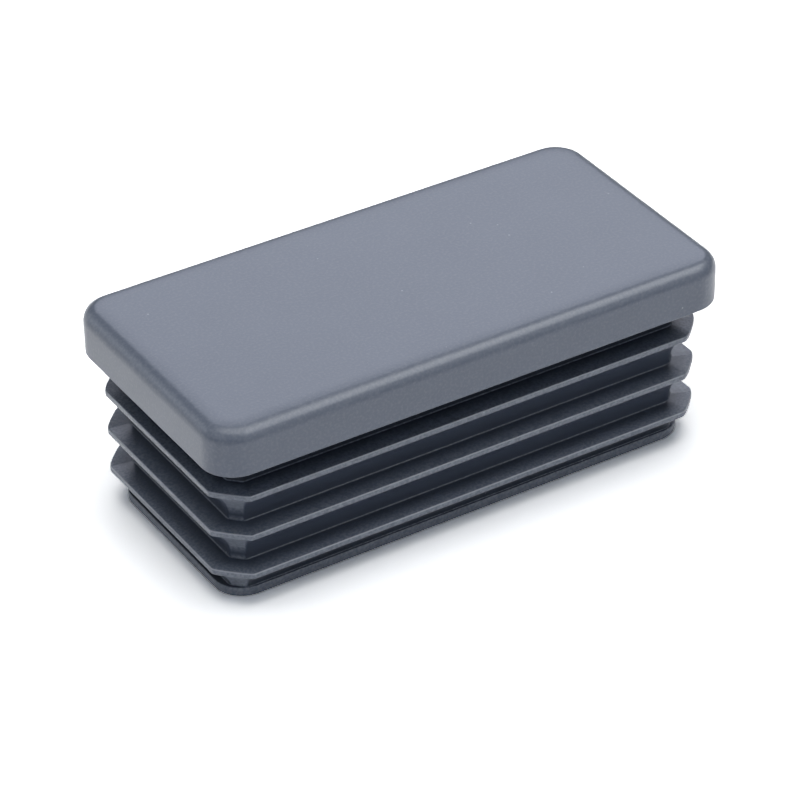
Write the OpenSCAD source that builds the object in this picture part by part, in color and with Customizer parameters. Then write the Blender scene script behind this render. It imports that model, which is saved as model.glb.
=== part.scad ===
// Post cap for a rectangular tube: a flat rounded head that covers the tube's cut end,
// above a hollow plug whose flared ribs grip the tube's inside walls.
// Moulded in one piece. Lengths in mm. The head's seat is at z = 0 and the plug points down.

/* [Head] */
// Length of the head, the same as the outside length of the tube
head_l = 40; // [32:0.5:80]
// Width of the head, the same as the outside width of the tube
head_w = 20; // [16:0.5:50]
// Thickness of the head above its seat
head_t = 3.4; // [3:0.1:6]
// Radius of the head's four upright corners
head_corner_r = 2.4; // [1.6:0.1:4]
// Radius of the rounded edge around the head's top
head_edge_r = 1.0; // [0.4:0.1:1.4]

/* [Plug] */
// Step from the head's short side in to the plug's wall
plug_inset_l = 2.25; // [1.8:0.05:3]
// Step from the head's long side in to the plug's wall
plug_inset_w = 2.5; // [1.8:0.05:3]
// Leg of the flat on the plug's upright corners
plug_flat = 0.8; // [0.4:0.1:1.2]
// Thickness of the plug's wall around the hollow
wall_t = 1.7; // [1.2:0.1:2.2]
// Thickness of the roof between the hollow and the top of the head
roof_t = 2.4; // [1.6:0.1:2.8]
// Radius of the hollow's upright corners
hollow_corner_r = 1.2; // [0.8:0.1:2]
// Radius where the hollow's walls meet its roof
hollow_roof_r = 0.6; // [0.2:0.1:0.7]

/* [Ribs] */
// Number of ribs around the plug
rib_n = 3; // [1:1:5]
// Depth of the first rib's tip below the seat
rib_first = 2.4; // [1.8:0.1:4]
// Distance from one rib to the next
rib_pitch = 3.12; // [2.9:0.01:4.5]
// Reach of a rib beyond the plug's wall
rib_out = 1.6; // [1.2:0.05:2]
// Height of the thin edge at a rib's tip
rib_tip = 0.42; // [0.3:0.02:0.7]
// Height of the thin edge across a rib's corners
rib_corner_tip = 0.48; // [0.46:0.02:0.8]
// Fall of a rib's upper face from the wall to the tip
rib_fall = 0.1; // [0.04:0.02:0.3]
// Height of the curved flare under a rib's tip
rib_flare = 2.2; // [1.8:0.1:2.3]
// Radius of that flare
rib_flare_r = 2.8; // [2.6:0.1:4]
// Leg of the flat cut across each corner of a rib
rib_flat = 2.0; // [1.6:0.1:3]

/* [Rim] */
// Clear height between the last rib's tip and the rim
rim_gap = 1.64; // [1:0.02:3]
// Height of the rim around the plug's open end
rim_h = 0.8; // [0.6:0.1:1.6]
// Reach of the rim beyond the plug's wall
rim_out = 0.35; // [0.2:0.05:0.8]
// Radius of the rim's upright corners
rim_corner_r = 1.9; // [1.2:0.1:2.4]
// Radius of the rim's lower edge, which leads the plug into the tube
rim_edge_r = 0.3; // [0.1:0.05:0.5]

/* [Hidden] */
$fn = 64;
slate = [0.46, 0.48, 0.53];
plug_l = head_l - 2 * plug_inset_l;
plug_w = head_w - 2 * plug_inset_w;
last_tip = rib_first + (rib_n - 1) * rib_pitch + rib_tip;
plug_len = last_tip + rim_gap + rim_h;
// Half width across a pair of opposite corner flats, and the ribs' reach there
corner_half = (plug_l / 2 + plug_w / 2 - plug_flat) / sqrt(2);
corner_out = (2 * rib_out + plug_flat - rib_flat) / sqrt(2);
// Length of a rib's runs, and the depth by which joined forms are sunk into each other
span = head_l + head_w;
bury = 0.3;

// Half section of a slab's corner: upright wall, rounded upper edge
module edge_section(reach, t, edge_r) {
    square([reach, t - edge_r]);
    square([reach - edge_r, t]);
    translate([reach - edge_r, t - edge_r])
        intersection() {
            circle(edge_r);
            square(edge_r);
        }
}

// Rounded rectangular slab standing on z = 0 with a rounded upper edge
module slab(l, w, t, corner_r, edge_r) {
    cl = l / 2 - corner_r;
    cw = w / 2 - corner_r;
    translate([-cl, -cw, 0])
        cube([2 * cl, 2 * cw, t]);
    for (turn = [0, 180])
        rotate(turn) {
            translate([0, cw, 0])
                rotate([90, 0, 90])
                    linear_extrude(2 * cl, center = true)
                        edge_section(corner_r, t, edge_r);
            translate([cl, 0, 0])
                rotate([90, 0, 0])
                    linear_extrude(2 * cw, center = true)
                        edge_section(corner_r, t, edge_r);
            translate([cl, cw, 0])
                rotate_extrude(angle = 90)
                    edge_section(corner_r, t, edge_r);
            translate([-cl, cw, 0])
                rotate(90)
                    rotate_extrude(angle = 90)
                        edge_section(corner_r, t, edge_r);
        }
}

// Centre of the circle of radius rib_flare_r from a rib's tip, at reach out, down to the wall
function flare_centre(out) =
    let (chord = norm([out, rib_flare]), aside = sqrt(pow(rib_flare_r / chord, 2) - 0.25))
    [out / 2 + rib_flare * aside, -rib_flare / 2 - out * aside];

// Outline of a rectangle, given by its half sizes, with flats of one leg across its corners
function flat_corners(hl, hw, leg) = [
    [hl - leg, hw], [leg - hl, hw], [-hl, hw - leg], [-hl, leg - hw],
    [leg - hl, -hw], [hl - leg, -hw], [hl, leg - hw], [hl, hw - leg]
];

// Section of one rib from side to side: thin tips, sloped upper faces, curved flares below
module rib_section(half, out, tip, lift) {
    centre = flare_centre(out);
    under = -tip - rib_flare - bury;
    difference() {
        polygon([
            [half, rib_fall + lift], [half + out, lift], [half + out, under],
            [-half - out, under], [-half - out, lift], [-half, rib_fall + lift]
        ]);
        for (side = [1, -1])
            translate([side * (half + centre[0]), centre[1] - tip])
                circle(rib_flare_r);
    }
}

// A rib's section drawn out along one direction
module rib_run(half, out, tip, lift, turn) {
    rotate([90, 0, turn])
        linear_extrude(span, center = true)
            rib_section(half, out, tip, lift);
}

// One rib: what the runs along both sides and both diagonals have in common
module rib() {
    intersection() {
        rib_run(plug_l / 2, rib_out, rib_tip, 0, 0);
        rib_run(plug_w / 2, rib_out, rib_tip, 0, 90);
        rib_run(corner_half, corner_out, rib_corner_tip, bury, 45);
        rib_run(corner_half, corner_out, rib_corner_tip, bury, -45);
    }
}

// Straight wall of the plug with its ribs, set into the head above and the rim below
module plug() {
    intersection() {
        translate([0, 0, rim_h / 2 - plug_len])
            linear_extrude(plug_len + head_t)
                square([head_l, head_w], center = true);
        union() {
            translate([0, 0, -plug_len])
                linear_extrude(plug_len + bury)
                    polygon(flat_corners(plug_l / 2, plug_w / 2, plug_flat));
            for (i = [0 : rib_n - 1])
                translate([0, 0, -rib_first - i * rib_pitch])
                    rib();
        }
    }
}

// Band around the open end, rounded on its lower edge
module rim() {
    translate([0, 0, rim_h - plug_len])
        rotate([180, 0, 0])
            slab(plug_l + 2 * rim_out, plug_w + 2 * rim_out, rim_h, rim_corner_r, rim_edge_r);
}

// Hollow of the plug, open at the bottom and rounded into the roof
module hollow() {
    depth = plug_len + head_t - roof_t;
    translate([0, 0, -plug_len - 1])
        slab(plug_l - 2 * wall_t, plug_w - 2 * wall_t, depth + 1, hollow_corner_r, hollow_roof_r);
}

// The whole cap as it comes out of the mould
module post_cap() {
    color(slate)
        difference() {
            union() {
                slab(head_l, head_w, head_t, head_corner_r, head_edge_r);
                plug();
                rim();
            }
            hollow();
        }
}

post_cap();
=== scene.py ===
# %% [markdown]
# # A moulded post cap
# A post cap closes the cut end of a rectangular steel tube. It is moulded in one shot, usually from
# polyethylene: a flat rounded head, and below it a hollow plug whose thin flared ribs bend against the
# tube's inside walls. The CAD model gives its sizes and its place, and this script gives it a finer skin,
# a finish and a studio.

from math import copysign, cos, exp, radians, sin, sqrt

import bmesh
import bpy
from mathutils import Matrix, Vector


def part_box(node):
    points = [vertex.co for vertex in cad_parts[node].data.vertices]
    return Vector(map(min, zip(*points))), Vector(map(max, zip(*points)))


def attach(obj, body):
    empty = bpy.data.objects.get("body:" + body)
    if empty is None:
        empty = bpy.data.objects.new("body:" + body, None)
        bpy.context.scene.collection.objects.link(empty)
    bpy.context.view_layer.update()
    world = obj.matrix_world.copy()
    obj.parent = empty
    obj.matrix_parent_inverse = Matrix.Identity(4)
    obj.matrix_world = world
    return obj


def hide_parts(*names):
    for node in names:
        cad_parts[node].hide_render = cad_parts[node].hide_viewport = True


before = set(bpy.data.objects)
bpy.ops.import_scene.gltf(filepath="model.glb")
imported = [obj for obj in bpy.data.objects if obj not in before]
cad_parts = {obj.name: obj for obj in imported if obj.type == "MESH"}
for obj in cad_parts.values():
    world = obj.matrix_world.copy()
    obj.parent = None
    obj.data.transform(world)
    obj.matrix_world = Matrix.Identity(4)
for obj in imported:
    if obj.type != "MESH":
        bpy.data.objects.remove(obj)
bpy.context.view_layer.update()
cad_low, cad_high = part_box("post_cap")
MM = 0.001
print("CAD box in mm:", [round(v / MM, 2) for v in cad_high - cad_low])

# %% [markdown]
# ## The camera
# The picture looks as if taken with a long lens, because the far edges of the head are nearly parallel to
# the near ones. The camera is written as an angle around the part, an angle above the table, a small tilt
# and a distance, which is how a photographer would note it down. A look-at constraint would do as well,
# but a matrix is easier to read.

# %% Camera at the photograph's angle
VIEW_AZIMUTH, VIEW_ELEVATION, VIEW_TILT = radians(-31.517), radians(34.124), radians(-0.942)
VIEW_DISTANCE, NEAREST = 259.659 * MM, 10 * MM
VIEW_TARGET = Vector((-1.531, -1.984, -4.731)) * MM
SENSOR_MM, LENS_MM = 36.0, 171.84


def camera_matrix(azimuth, elevation, tilt, distance, target):
    """World matrix of a camera that looks at target from a distance, turned about its own axis by tilt."""
    back = Vector((sin(azimuth) * cos(elevation), -cos(azimuth) * cos(elevation), sin(elevation)))
    side = Vector((cos(azimuth), sin(azimuth), 0.0))
    up = back.cross(side)
    right = side * cos(tilt) + up * sin(tilt)
    up = up * cos(tilt) - side * sin(tilt)
    turn = Matrix((right, up, back)).transposed().to_4x4()
    return Matrix.Translation(target + back * distance) @ turn


scene = bpy.context.scene
camera_data = bpy.data.cameras.new("photo_camera")
camera_data.sensor_width = SENSOR_MM
camera_data.lens = LENS_MM
camera_data.clip_start = NEAREST
camera = bpy.data.objects.new("photo_camera", camera_data)
camera.matrix_world = camera_matrix(VIEW_AZIMUTH, VIEW_ELEVATION, VIEW_TILT, VIEW_DISTANCE, VIEW_TARGET)
scene.collection.objects.link(camera)
scene.camera = camera
print("camera stands at (mm):", [round(v / MM, 1) for v in camera.matrix_world.translation])

# %% [markdown]
# ## The skin of the cap
# The CAD mesh is made of triangles with knife-sharp edges. A moulded edge is never that sharp, and the
# thin light lines along the ribs come from its small radius and from a painted highlight on the tips'
# upper edges. So a new skin is drawn over the same sizes.
# One long loft could make it, but a toolmaker would see four plain blocks: the head, the ribbed plug, the
# rim around the open end, and the core that leaves the hollow. Each starts as a cube with its edges
# bevelled, and flat rings join them.

# %% Sizes in mm, from the CAD box inwards
HEAD_HALF = Vector((cad_high.x, cad_high.y)) / MM
HEAD_TOP, FOOT = cad_high.z / MM, cad_low.z / MM
HEAD_CORNER_R, HEAD_EDGE_R = 2.4, 1.0
PLUG_INSET = Vector((2.25, 2.5))
PLUG_HALF = HEAD_HALF - PLUG_INSET
PLUG_FLAT, WALL, ROOF = 0.8, 1.7, 2.4
RIM_OUT, RIM_H, RIM_CORNER_R, RIM_EDGE_R = Vector((0.75, 0.35)), 0.8, 2.2, 0.3
HOLLOW_CORNER_R, HOLLOW_ROOF_R = 1.2, 0.6
RIM_TOP = FOOT + RIM_H
print("plug in mm:", [round(2 * v, 2) for v in PLUG_HALF], "long:", round(-FOOT, 2))

# %% A block, and what is done to its edges and ends
SAME_LEVEL, UPRIGHT_RISE, LEVEL_FACE = 1e-4, 0.1, 0.999  # mm, mm, and a normal's upward share


def block(half, low, high):
    """A new bmesh with one box in it: half sizes, lower and upper level, all in mm."""
    mesh = bmesh.new()
    corners = bmesh.ops.create_cube(mesh, size=1.0)["verts"]
    bmesh.ops.scale(mesh, verts=corners, vec=Vector((2 * half.x, 2 * half.y, high - low)) * MM)
    bmesh.ops.translate(mesh, verts=corners, vec=Vector((0, 0, (low + high) / 2)) * MM)
    return mesh


def round_edges(mesh, edges, radius, segments):
    """Gives some edges a radius in mm; with one segment it is a flat."""
    bmesh.ops.bevel(mesh, geom=edges, offset=radius * MM, offset_type="OFFSET", affect="EDGES",
                    segments=segments, profile=0.5, material=-1, clamp_overlap=True)


def upright(mesh):
    """The edges of a block that stand upright."""
    return [e for e in mesh.edges if abs(e.verts[0].co.z - e.verts[1].co.z) > UPRIGHT_RISE * MM]


def verts_at(mesh, z):
    """The vertices of a mesh at one level, in mm."""
    return [v for v in mesh.verts if abs(v.co.z - z * MM) < SAME_LEVEL * MM]


def edges_at(mesh, z):
    """The edges of a mesh that lie at one level, in mm."""
    at_z = set(verts_at(mesh, z))
    return [e for e in mesh.edges if at_z.issuperset(e.verts)]


def open_end(mesh, way):
    """Takes away a block's flat end: way is 1 for the upper one and -1 for the lower one."""
    flat_end = [f for f in mesh.faces if f.normal.z * way > LEVEL_FACE]
    bmesh.ops.delete(mesh, geom=flat_end, context="FACES_ONLY")


# %% The head, whose flat top falls by a few hundredths of a millimetre towards its edge
TOP_FALL, TOP_STEPS = 0.04, ((0.3, 0.6), (0.5, 0.4))  # mm; each step's width in mm and its share of the fall
HEAD_CORNER_CUTS, HEAD_EDGE_CUTS = 12, 10
head = block(HEAD_HALF, 0.0, HEAD_TOP - TOP_FALL)
round_edges(head, upright(head), HEAD_CORNER_R, HEAD_CORNER_CUTS)
round_edges(head, edges_at(head, HEAD_TOP - TOP_FALL), HEAD_EDGE_R, HEAD_EDGE_CUTS)
open_end(head, -1)
top_face = [f for f in head.faces if f.normal.z > LEVEL_FACE]
for width, rise in TOP_STEPS:
    bmesh.ops.inset_region(head, faces=top_face, thickness=width * MM, use_even_offset=True)
    bmesh.ops.translate(head, verts=top_face[0].verts, vec=(0, 0, rise * TOP_FALL * MM))
print("head:", len(head.faces), "faces")

# %% The rim, and the hollow inside it
RIM_CORNER_CUTS, RIM_EDGE_CUTS, HOLLOW_CORNER_CUTS, HOLLOW_ROOF_CUTS = 10, 4, 8, 5
rim = block(PLUG_HALF + RIM_OUT, FOOT, RIM_TOP)
round_edges(rim, upright(rim), RIM_CORNER_R, RIM_CORNER_CUTS)
round_edges(rim, edges_at(rim, FOOT), RIM_EDGE_R, RIM_EDGE_CUTS)
open_end(rim, 1)
open_end(rim, -1)
hollow = block(PLUG_HALF - Vector((WALL, WALL)), FOOT, HEAD_TOP - ROOF)
round_edges(hollow, upright(hollow), HOLLOW_CORNER_R, HOLLOW_CORNER_CUTS)
round_edges(hollow, edges_at(hollow, HEAD_TOP - ROOF), HOLLOW_ROOF_R, HOLLOW_ROOF_CUTS)
open_end(hollow, -1)
print("rim and hollow:", len(rim.faces) + len(hollow.faces), "faces")

# %% [markdown]
# ## The ribs
# A rib is a thin lip around the plug. Its upper face is nearly level, its tip is a narrow upright band,
# and its underside sweeps back to the wall in an arc, so that it bends inwards as the cap is pushed home.
# Each could be a swept profile, but the flats across the corners grow towards the tip, and a sweep
# doesn't do that. So the plug's block is cut at every level of a rib, and each cut ring is pushed out
# from the wall by that level's reach.

# %% Sizes of a rib in mm, and the levels of its section
RIB_COUNT, RIB_FIRST, RIB_PITCH = 3, 2.4, 3.12
RIB_OUT, RIB_TIP, RIB_FALL, RIB_FLAT = 1.6, 0.42, 0.1, 2.0
FLARE_H, FLARE_R, FLARE_STEPS, FLARE_EASE = 2.2, 2.8, 9, 1.4  # the ease sets rings closer at the tip
RING_GAP = 0.15  # rings nearer than this to the rim would hold back the softening of its edge
RIB_TOPS = [-RIB_FIRST - i * RIB_PITCH for i in range(RIB_COUNT)]
LAST_TIP = RIB_TOPS[-1] - RIB_TIP


def flare_reach(drop):
    """How far a rib's underside stands off the wall, this far below the tip's lower edge: an arc."""
    chord = sqrt(RIB_OUT ** 2 + FLARE_H ** 2)
    aside = sqrt((FLARE_R / chord) ** 2 - 0.25)
    centre_out = RIB_OUT / 2 + FLARE_H * aside
    centre_down = FLARE_H / 2 + RIB_OUT * aside
    return centre_out - sqrt(FLARE_R ** 2 - (centre_down - drop) ** 2)


flare_drops = [FLARE_H * (step / FLARE_STEPS) ** FLARE_EASE for step in range(1, FLARE_STEPS + 1)]
rib_levels = []
for top in RIB_TOPS:
    tip = top - RIB_TIP
    rib_levels += [(top + RIB_FALL, 0.0), (top, RIB_OUT), (tip, RIB_OUT)]
    rib_levels += [(tip - d, flare_reach(d)) for d in flare_drops if tip - d > RIM_TOP + RING_GAP]
rib_levels.append((RIM_TOP, flare_reach(LAST_TIP - RIM_TOP)))
print("rings in the ribs:", len(rib_levels))

# %% Flats down the plug's corners, with the corner nearest the camera crisper than the others
NEAR_CORNER_R, WORN_CORNER_R, NEAR_CORNER_CUTS, WORN_CORNER_CUTS = 0.12, 0.30, 2, 3
FLAT_CUTS, FLAT_RUN_LEAST, FLAT_RUN_MOST = 5, 0.3 * PLUG_FLAT, 2 * PLUG_FLAT
plug = block(PLUG_HALF, RIM_TOP, 0.0)
round_edges(plug, upright(plug), PLUG_FLAT, 1)
open_end(plug, 1)
open_end(plug, -1)


def at_near_corner(edge):
    """True for the upright edges beside the flat that faces the camera."""
    return edge.verts[0].co.x < 0 and edge.verts[0].co.y < 0


def across_flat(edge):
    """True for the level edges that run across a corner's flat."""
    run = edge.verts[0].co - edge.verts[1].co
    return min(abs(run.x), abs(run.y)) > FLAT_RUN_LEAST * MM and run.length < FLAT_RUN_MOST * MM


for near, radius, cuts in ((False, WORN_CORNER_R, WORN_CORNER_CUTS),
                           (True, NEAR_CORNER_R, NEAR_CORNER_CUTS)):
    round_edges(plug, [e for e in upright(plug) if at_near_corner(e) == near], radius, cuts)
flat_ends = [e for e in plug.edges if across_flat(e)]
bmesh.ops.subdivide_edges(plug, edges=flat_ends, cuts=FLAT_CUTS, use_grid_fill=True)
print("plug before its ribs:", len(plug.faces), "faces")

# %% Cut the plug at every level, then push the rings out
FLAT_BULGE, CUT_SLACK = 0.03, 1e-5
for z, _ in rib_levels:
    everything = plug.verts[:] + plug.edges[:] + plug.faces[:]
    bmesh.ops.bisect_plane(plug, geom=everything, dist=CUT_SLACK * MM, plane_co=(0, 0, z * MM),
                           plane_no=(0, 0, 1))


def push_out(ring, reach):
    """Moves a ring away from the wall; the flats across its corners widen and bulge a little as it goes."""
    widen = (RIB_FLAT - PLUG_FLAT) * reach / RIB_OUT
    for v in ring:
        into_flat = (abs(v.co.x) / MM - PLUG_HALF.x + PLUG_FLAT) / PLUG_FLAT
        share = min(max(into_flat, 0.0), 1.0)
        bulge = FLAT_BULGE * 4 * share * (1 - share) * reach / RIB_OUT
        out_x = reach - widen * (1 - share) + bulge
        out_y = reach - widen * share + bulge
        v.co += Vector((copysign(out_x, v.co.x), copysign(out_y, v.co.y), 0)) * MM


for z, reach in rib_levels:
    push_out(verts_at(plug, z), reach)
print("ribbed plug:", len(plug.faces), "faces")

# %% [markdown]
# ## One closed skin
# The four shells are poured into one mesh, and the open loops that face each other at the seat, above the
# rim and at the foot are joined by a flat ring of triangles. Then every sharp edge gets a radius of about
# a tenth of a millimetre. A Bevel modifier could do that too, but an operator leaves the edge's faces at
# hand, to be marked for rubbing and painted light.

# %% Join the shells
skin = bmesh.new()
for shell in (head, plug, rim, hollow):
    shell_mesh = bpy.data.meshes.new("shell")
    shell.to_mesh(shell_mesh)
    skin.from_mesh(shell_mesh)
    bpy.data.meshes.remove(shell_mesh)
    shell.free()
for level in (0.0, RIM_TOP, FOOT):
    loops = [e for e in edges_at(skin, level) if e.is_boundary]
    bmesh.ops.triangle_fill(skin, edges=loops, use_beauty=True, normal=(0, 0, 1))
bmesh.ops.recalc_face_normals(skin, faces=skin.faces)
open_edges = sum(not e.is_manifold for e in skin.edges)
skin_volume = skin.calc_volume() / MM ** 3
print("skin:", len(skin.faces), "faces,", open_edges, "open edges,", round(skin_volume, 1), "mm3")

# %% Soften the sharp edges
EDGE_SOFT, EDGE_CUTS, SHARP = 0.09, 3, radians(32)
# One number per vertex holds rubbing and painted light together.
wear_and_light = skin.verts.layers.float.new("wear_and_painted_light")
sharp_edges = [e for e in skin.edges if e.calc_face_angle(0.0) > SHARP]
softened = bmesh.ops.bevel(skin, geom=sharp_edges, offset=EDGE_SOFT * MM, offset_type="OFFSET",
                           affect="EDGES", segments=EDGE_CUTS, profile=0.5, material=-1,
                           clamp_overlap=True)
soft_faces = set(softened["faces"])
skin.normal_update()
print(len(sharp_edges), "edges softened")

# %% Where a place lies on the plug
FACING_CORNER, FLAT_UPWARD, RIM_UPWARD = 0.12, 0.8, 0.9  # limits on the parts of a normal
LINE_HALF, RIM_SLACK, TIP_ABOVE = 0.10, 0.01, 0.4  # mm, mm, and a share of the flare's height


def past_wall(point):
    """How far a point stands out from the plug's wall, in mm: along the sides, or across a corner's flat."""
    past_side = Vector((abs(point.x), abs(point.y))) / MM - PLUG_HALF
    past_flat = (past_side.x + past_side.y + RIB_FLAT) / 2
    return max(past_side.x, past_side.y, past_flat)


def down_flare(z):
    """How far down the flare of the rib above it a level lies, as a share: 0 at the tip, 1 at the wall."""
    drops = [(top - RIB_TIP - z / MM) / FLARE_H for top in RIB_TOPS]
    return min(d for d in drops if d > -TIP_ABOVE)


def on_corner_flat(vert):
    """True on the flats that run down the plug's corners under the ribs."""
    slopes = [f.normal for f in vert.link_faces]
    diagonal = any(abs(abs(n.x) - abs(n.y)) < FACING_CORNER and abs(n.z) < FLAT_UPWARD for n in slopes)
    return diagonal and RIM_TOP < vert.co.z / MM < RIB_TOPS[0]


def on_rim(vert):
    """True on the outside of the rim."""
    outwards = vert.co.x * vert.normal.x + vert.co.y * vert.normal.y > 0
    return outwards and abs(vert.normal.z) < RIM_UPWARD and vert.co.z / MM < RIM_TOP + RIM_SLACK


def on_line(z, levels):
    """True close to one of some levels, in mm."""
    return any(abs(z / MM - level) < LINE_HALF for level in levels)


# %% How much rubbing and painted light each place gets, from 0 to 1
# Tips: rubbing with painted light. Head edge and tips' upper edges: painted highlight. Flats, rim and right
# ends: painted light.
TIP_RUB_AND_LIGHT, FACET_PAINTED_LIGHT, TIP_EDGE_HIGHLIGHT, ROOT_LINE_PALE = 0.75, 0.80, 0.92, 0.60
RIM_PAINTED_LIGHT, HEAD_EDGE_HIGHLIGHT, END_PAINTED_LIGHT = 0.55, 0.60, 0.90
HIGHLIGHT_LEAN, HIGHLIGHT_LEAN_WIDTH = radians(42), radians(18)
FACET_LIGHT_FADE, END_UPWARD, END_SLACK = 0.25, 0.5, 0.1  # a share of the flare, a normal's upward share, mm
BELOW_SEAT, TIP_DEPTH, ROOT_REACH = -1.0, 0.15, 0.7  # mm
for v in skin.verts:
    lean = v.normal.angle((0, 0, 1))
    above_rim = RIM_TOP + END_SLACK < v.co.z / MM < BELOW_SEAT
    if v.co.z > (HEAD_TOP - HEAD_EDGE_R) * MM and past_wall(v.co) > 0:
        # Painted highlight: a pale band where the head's rounded edge leans about 42 degrees.
        v[wear_and_light] = HEAD_EDGE_HIGHLIGHT * exp(-((lean - HIGHLIGHT_LEAN) / HIGHLIGHT_LEAN_WIDTH) ** 2)
    elif on_corner_flat(v):
        # Painted light on the corner flats, fading out near the wall.
        v[wear_and_light] = FACET_PAINTED_LIGHT * min(1.0, max(0.0, (1 - down_flare(v.co.z)) / FACET_LIGHT_FADE))
    elif on_rim(v):
        # Painted light on the outside of the rim.
        v[wear_and_light] = RIM_PAINTED_LIGHT
    elif above_rim and v.normal.z > END_UPWARD and v.co.x > (PLUG_HALF.x - END_SLACK) * MM:
        # Painted light on the upward faces at the ribs' right ends.
        v[wear_and_light] = END_PAINTED_LIGHT

# %% The softened edges: a painted highlight along the tips' upper edges, a paler line at each rib's root, and rubbing with painted light on the rest
rib_roots = [top + RIB_FALL for top in RIB_TOPS]
for v in softened["verts"]:
    rounded = all(f in soft_faces for f in v.link_faces)
    near_wall = past_wall(v.co) < ROOT_REACH
    at_tip = past_wall(v.co) > RIB_OUT - TIP_DEPTH and v.co.z < BELOW_SEAT * MM
    at_seat = near_wall and on_line(v.co.z, [0.0])
    if rounded and at_tip and on_line(v.co.z, RIB_TOPS):
        # Painted highlight along the upper edges of the tips.
        v[wear_and_light] = TIP_EDGE_HIGHLIGHT
    elif rounded and near_wall and on_line(v.co.z, rib_roots):
        # A paler line along each rib's root.
        v[wear_and_light] = ROOT_LINE_PALE
    elif at_tip or (rounded and not at_seat):
        # The tips and the other softened edges: rubbing, with painted light on top.
        v[wear_and_light] = TIP_RUB_AND_LIGHT
print("rubbed places:", sum(v[wear_and_light] > 0 for v in skin.verts), "of", len(skin.verts))

# %% The finished skin takes the solid's place
CREASE = radians(22)
for f in skin.faces:
    f.smooth = True
cap_mesh = bpy.data.meshes.new("cap_skin")
skin.to_mesh(cap_mesh)
skin.free()
cap_mesh.set_sharp_from_angle(angle=CREASE)
cap = bpy.data.objects.new("cap_skin", cap_mesh)
scene.collection.objects.link(cap)
weighted = cap.modifiers.new("flat_faces_stay_flat", "WEIGHTED_NORMAL")
weighted.keep_sharp = True
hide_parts("post_cap")
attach(cap, "root")
print("cap_skin:", len(cap_mesh.polygons), "faces")

# %% [markdown]
# ## The plastic
# Such caps are usually moulded from low-density polyethylene, here with slate grey dye in it. The skin
# has a fine even grain, as from a spark-eroded mould: up close it looks like very small dimples, and from
# a step away like a satin sheen with a soft edge to every highlight. Polyethylene is soft, so whatever
# gets rubbed turns paler, such as the ribs' thin tips. Light is painted on as well: the tips are painted
# lighter on top of their rubbing, a painted highlight runs along the head's edge and the tips' upper
# edges, and painted light lies on the corner flats under the ribs, on the rim that leads the cap into the
# tube and on the ribs' right ends. A photo of each zone could be pasted on, but here one shader carries it
# all, with the rubbing and the painted light read from the vertices. A real cap would be one colour. These
# lamps leave the plug paler than the photograph shows it, so painted shade makes its colour darker than
# the head's, and darkest in the gaps under the head and above the rim.

# %% Colours, and one way to add a node
HEAD_DARK, HEAD_PALE = "#6e7789", "#757e90"
# The plug's two tones and the gap colour are painted shade, darker than the head's.
PLUG_SHADED_DARK, PLUG_SHADED_PALE, GAP_SHADE = "#485162", "#4e5768", "#262f3d"
# The scuff colour shows rubbing and painted light; the palest colour is painted light and painted highlight.
SCUFF_AND_LIGHT, PAINTED_LIGHT_PALEST, SPECK, DUST = "#8a92a1", "#d2d8e2", "#a2a9b6", "#aeb5c1"
FACTOR, COLOUR_A, COLOUR_B, MIXED = 0, 6, 7, 2  # sockets of a Mix node that mixes colours
PLASTIC_IOR = 1.51


def linear(hex_colour):
    """sRGB hex to the linear colour that a shader wants."""
    parts = [int(hex_colour[i:i + 2], 16) / 255 for i in (1, 3, 5)]
    return tuple(c / 12.92 if c <= 0.04045 else ((c + 0.055) / 1.055) ** 2.4 for c in parts) + (1.0,)


def node(tree, kind, inputs=(), **settings):
    """Adds a node: its own settings, then its inputs by name or number, each a value or a socket to link."""
    made = tree.nodes.new(kind)
    for name, value in settings.items():
        setattr(made, name, value)
    for name, value in inputs:
        if isinstance(value, bpy.types.NodeSocket):
            tree.links.new(value, made.inputs[name])
        else:
            made.inputs[name].default_value = value
    return made


plastic = bpy.data.materials.new("moulded_polyethylene")
plastic.use_nodes = True
tree = plastic.node_tree
shader = tree.nodes["Principled BSDF"]
shader.inputs["IOR"].default_value = PLASTIC_IOR

# %% The dye: a cloudy tone, with painted shade that makes the plug darker than the head and darkest in the gaps
CLOUD_MM, CLOUD_DETAIL = 4.0, 3.0
PLUG_UP_TO, HEAD_FROM = -0.10, -0.02  # mm, just below the seat
# Painted shade: the levels where the gaps under the head and above the rim turn dark, and how dark.
GAP_SHADE_LEVELS = ((RIM_TOP - 0.02, 0.0), (RIM_TOP + 0.03, 1.0), (LAST_TIP - 0.10, 1.0), (LAST_TIP - 0.02, 0.0),
               (RIB_TOPS[0] - 0.01, 0.0), (RIB_TOPS[0] + 0.07, 1.0))  # level in mm, share of the deep colour
place = node(tree, "ShaderNodeTexCoord").outputs["Object"]
height = node(tree, "ShaderNodeSeparateXYZ", [("Vector", place)]).outputs["Z"]
on_head = node(tree, "ShaderNodeMapRange", [("Value", height), ("From Min", PLUG_UP_TO * MM),
                                            ("From Max", HEAD_FROM * MM)])
clouds = node(tree, "ShaderNodeTexNoise", [("Vector", place), ("Scale", 1 / (CLOUD_MM * MM)),
                                           ("Detail", CLOUD_DETAIL)])
head_tone = node(tree, "ShaderNodeMix", [(FACTOR, clouds.outputs[0]), (COLOUR_A, linear(HEAD_DARK)),
                                         (COLOUR_B, linear(HEAD_PALE))], data_type="RGBA")
plug_tone_in_shade = node(tree, "ShaderNodeMix", [(FACTOR, clouds.outputs[0]), (COLOUR_A, linear(PLUG_SHADED_DARK)),
                                         (COLOUR_B, linear(PLUG_SHADED_PALE))], data_type="RGBA")
depth = node(tree, "ShaderNodeMapRange", [("Value", height), ("From Min", FOOT * MM), ("From Max", 0.0)])
deep = node(tree, "ShaderNodeValToRGB", [("Fac", depth.outputs[0])])
for z, share in GAP_SHADE_LEVELS:
    deep.color_ramp.elements.new(1 - z / FOOT).color = (share, share, share, 1.0)
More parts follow.
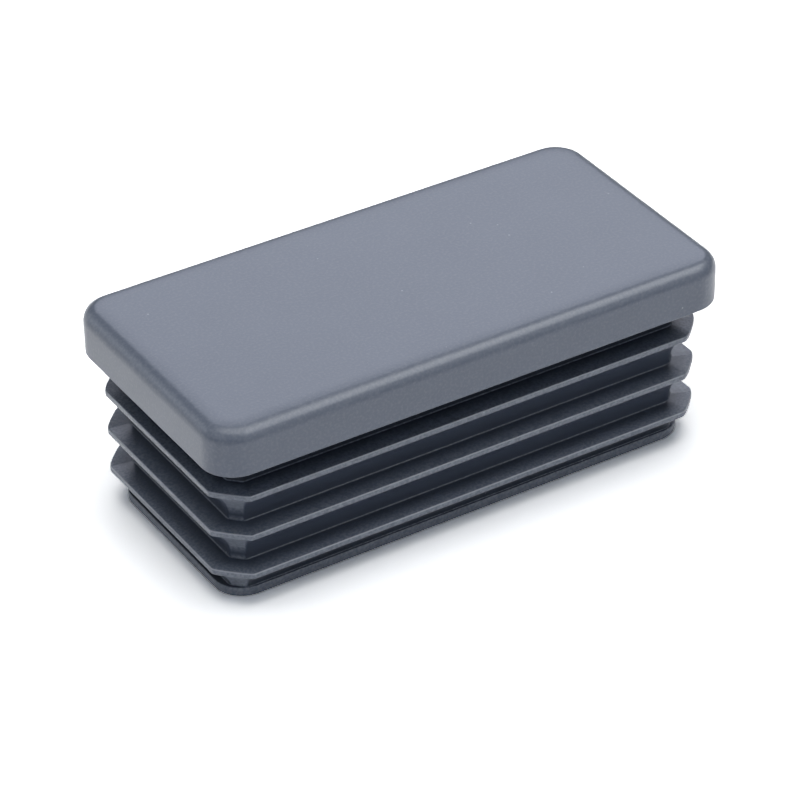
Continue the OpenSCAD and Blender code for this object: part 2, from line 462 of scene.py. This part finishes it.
# Painted shade: the plug's tone darkens in the gaps under the head and above the rim.
gap_shaded_tone = node(tree, "ShaderNodeMix", [(FACTOR, deep.outputs["Color"]),
                                        (COLOUR_A, plug_tone_in_shade.outputs[MIXED]),
                                        (COLOUR_B, linear(GAP_SHADE))], data_type="RGBA")
print("dye: clouds", CLOUD_MM, "mm across,", len(deep.color_ramp.elements), "levels on the plug")

# %% The grain: dimples a fifth of a millimetre across, drawn a little coarser than real so that they show
GRAIN_MM, GRAIN_DETAIL, DIMPLE_MM = 0.2, 1.0, 0.006
SPECKLE_FROM, SPECKLE_FULL, SPECKLE_MOST = 0.45, 0.75, 0.22
SHEEN_FROM, SHEEN_FULL, SMOOTHEST, ROUGHEST = 0.3, 0.7, 0.29, 0.35
grain = node(tree, "ShaderNodeTexNoise", [("Vector", place), ("Scale", 1 / (GRAIN_MM * MM)),
                                          ("Detail", GRAIN_DETAIL)])
speckle = node(tree, "ShaderNodeMapRange", [("Value", grain.outputs[0]), ("From Min", SPECKLE_FROM),
                                            ("From Max", SPECKLE_FULL), ("To Max", SPECKLE_MOST)])
speckled = node(tree, "ShaderNodeMix", [(FACTOR, speckle.outputs[0]), (COLOUR_A, head_tone.outputs[MIXED]),
                                        (COLOUR_B, linear(SPECK))], data_type="RGBA")
grained_and_shaded = node(tree, "ShaderNodeMix", [(FACTOR, on_head.outputs[0]), (COLOUR_A, gap_shaded_tone.outputs[MIXED]),
                                       (COLOUR_B, speckled.outputs[MIXED])], data_type="RGBA")
sheen = node(tree, "ShaderNodeMapRange", [("Value", grain.outputs[0]), ("From Min", SHEEN_FROM),
                                          ("From Max", SHEEN_FULL), ("To Min", SMOOTHEST),
                                          ("To Max", ROUGHEST)])
dimples = node(tree, "ShaderNodeBump", [("Height", grain.outputs[0]), ("Strength", 1.0),
                                        ("Distance", DIMPLE_MM * MM)])
tree.links.new(sheen.outputs[0], shader.inputs["Roughness"])
tree.links.new(dimples.outputs[0], shader.inputs["Normal"])
print("grain:", GRAIN_MM, "mm across and", DIMPLE_MM, "mm deep")

# %% The rubbing and painted light: pale where the vertices say so, uneven like the grain, palest along the thin lines of painted highlight
UNEVEN_FROM, UNEVEN_FULL, UNEVEN_LEAST, UNEVEN_MOST = 0.35, 0.65, 0.6, 1.2
SCUFF_AND_LIGHT_MOST = 0.85
rub_and_light = node(tree, "ShaderNodeAttribute", attribute_name="wear_and_painted_light").outputs["Fac"]
uneven = node(tree, "ShaderNodeMapRange", [("Value", grain.outputs[0]), ("From Min", UNEVEN_FROM),
                                           ("From Max", UNEVEN_FULL), ("To Min", UNEVEN_LEAST),
                                           ("To Max", UNEVEN_MOST)])
scuff_and_light_depth = node(tree, "ShaderNodeMapRange", [("Value", rub_and_light), ("From Max", TIP_RUB_AND_LIGHT),
                                                ("To Max", SCUFF_AND_LIGHT_MOST)])
scuff_and_light_share = node(tree, "ShaderNodeMath", [(0, scuff_and_light_depth.outputs[0]), (1, uneven.outputs[0])],
                   operation="MULTIPLY", use_clamp=True)
scuffed_and_lit = node(tree, "ShaderNodeMix", [(FACTOR, scuff_and_light_share.outputs[0]), (COLOUR_A, grained_and_shaded.outputs[MIXED]),
                                       (COLOUR_B, linear(SCUFF_AND_LIGHT))], data_type="RGBA")
# Above the tips' level: painted light and painted highlight, palest on the thin lines.
painted_light_share = node(tree, "ShaderNodeMapRange", [("Value", rub_and_light), ("From Min", TIP_RUB_AND_LIGHT)])
with_painted_light = node(tree, "ShaderNodeMix", [(FACTOR, painted_light_share.outputs[0]), (COLOUR_A, scuffed_and_lit.outputs[MIXED]),
                                     (COLOUR_B, linear(PAINTED_LIGHT_PALEST))], data_type="RGBA")
print("rubbing: full scuff at", TIP_RUB_AND_LIGHT, "and paler above it")

# %% The dust: a few motes, each about a tenth of a millimetre across
MOTE_GAP_MM, MOTE_SHARE = 2.2, 0.03
motes = node(tree, "ShaderNodeTexVoronoi", [("Vector", place), ("Scale", 1 / (MOTE_GAP_MM * MM))])
mote = node(tree, "ShaderNodeMath", [(0, motes.outputs["Distance"]), (1, MOTE_SHARE)], operation="LESS_THAN")
dusty = node(tree, "ShaderNodeMix", [(FACTOR, mote.outputs[0]), (COLOUR_A, with_painted_light.outputs[MIXED]),
                                     (COLOUR_B, linear(DUST))], data_type="RGBA")
tree.links.new(dusty.outputs[MIXED], shader.inputs["Base Color"])
cap.data.materials.append(plastic)
print("plastic:", len(tree.nodes), "nodes")

# %% [markdown]
# ## The white table
# The cap stands on a sheet of white card. A camera exposed for a dark grey part shows such a card as
# plain white, with a shadow only close to the part. A long exposure would burn out the cap as well, so
# the card tells the rays apart: in view, and mirrored in the plastic, it is brighter than any card can
# be, and the light that it throws back under the ribs is that of a real card.

# %% Card under the foot
FLOOR_HALF = 0.6
card_grid = bmesh.new()
bmesh.ops.create_grid(card_grid, x_segments=1, y_segments=1, size=FLOOR_HALF)
bmesh.ops.translate(card_grid, verts=card_grid.verts, vec=(0, 0, cad_low.z))
card_mesh = bpy.data.meshes.new("white_card")
card_grid.to_mesh(card_mesh)
card_grid.free()
card = bpy.data.objects.new("white_card", card_mesh)
scene.collection.objects.link(card)
print("card:", 2 * FLOOR_HALF, "m wide at z =", round(cad_low.z / MM, 2), "mm")

# %% Matt white card, uncoated: an even scatter with next to no gloss
CARD_WHITE, CARD_ROUGHNESS, FLOOR_IN_VIEW = "#f0f0f2", 0.9, 2.6
card_paint = bpy.data.materials.new("white_card")
card_paint.use_nodes = True
card_tree = card_paint.node_tree
real_card = card_tree.nodes["Principled BSDF"]
real_card.inputs["Base Color"].default_value = linear(CARD_WHITE)
real_card.inputs["Roughness"].default_value = CARD_ROUGHNESS
path = node(card_tree, "ShaderNodeLightPath").outputs
mirrored = node(card_tree, "ShaderNodeMath", [(0, path["Is Glossy Ray"]), (1, path["Is Transmission Ray"])],
                operation="MAXIMUM")
seen = node(card_tree, "ShaderNodeMath", [(0, path["Is Camera Ray"]), (1, mirrored.outputs[0])],
            operation="MAXIMUM")
in_view = node(card_tree, "ShaderNodeBsdfDiffuse", [("Color", (FLOOR_IN_VIEW,) * 3 + (1.0,))])
shown = node(card_tree, "ShaderNodeMixShader", [(0, seen.outputs[0]), (1, real_card.outputs[0]),
                                                (2, in_view.outputs[0])])
card_tree.links.new(shown.outputs[0], card_tree.nodes["Material Output"].inputs["Surface"])
card.data.materials.append(card_paint)
print("card paint:", len(card_tree.nodes), "nodes")

# %% [markdown]
# ## The light
# The flat top shows one even tone and the ribs' tips shine, so the light was soft and stood high. One
# softbox hangs overhead, and two weak ones fill the left and the front. The other three are white boards
# that the satin skin mirrors: one behind on the right for the top, one behind on the left for the left
# edge, and one high on the right for the front edge. Lit boards would throw light on the table too and
# blur its shadow, so they show in reflections only. A bright sky all around would be simpler, but it
# would reach into the gaps under the head and the ribs.

# %% Softboxes, and a faint cool room
COOL, BLUISH, NEUTRAL = (0.90, 0.95, 1.0), (0.84, 0.87, 1.0), (1.0, 1.0, 1.0)
ROOM_STRENGTH = 0.05
SOFTBOXES = {  # place in m, width and height in m, watts, colour
    "overhead": ((0.02, 0.01, 0.5), (0.45, 0.45), 1.60, NEUTRAL),
    "back_right": ((0.36, 0.52, 0.40), (0.50, 0.23), 1.28, BLUISH),
    "edge_light": ((0.30, -0.15, 0.47), (0.60, 0.22), 1.55, NEUTRAL),
    "back_left": ((-0.42, 0.50, 0.20), (0.50, 0.35), 0.65, COOL),
    "left_fill": ((-0.52, -0.14, 0.30), (0.4, 0.2), 0.30, COOL),
    "front_fill": ((0.26, -0.64, 0.22), (0.5, 0.2), 0.42, COOL),
}
MIRRORED_ONLY = {"back_right", "back_left", "edge_light"}
for name, (at, size, watts, colour) in SOFTBOXES.items():
    lamp_data = bpy.data.lights.new(name, "AREA")
    lamp_data.shape = "RECTANGLE"
    lamp_data.size, lamp_data.size_y = size
    lamp_data.energy = watts
    lamp_data.color = colour
    lamp = bpy.data.objects.new(name, lamp_data)
    lamp.location = at
    lamp.rotation_euler = (-Vector(at)).to_track_quat("-Z", "Y").to_euler()
    lamp.visible_diffuse = name not in MIRRORED_ONLY
    scene.collection.objects.link(lamp)
world = bpy.data.worlds.new("studio")
world.use_nodes = True
scene.world = world
room = world.node_tree.nodes["Background"]
room.inputs["Color"].default_value = (*COOL, 1.0)
room.inputs["Strength"].default_value = ROOM_STRENGTH
scene.view_settings.view_transform = "Standard"
print("softboxes:", ", ".join(SOFTBOXES))
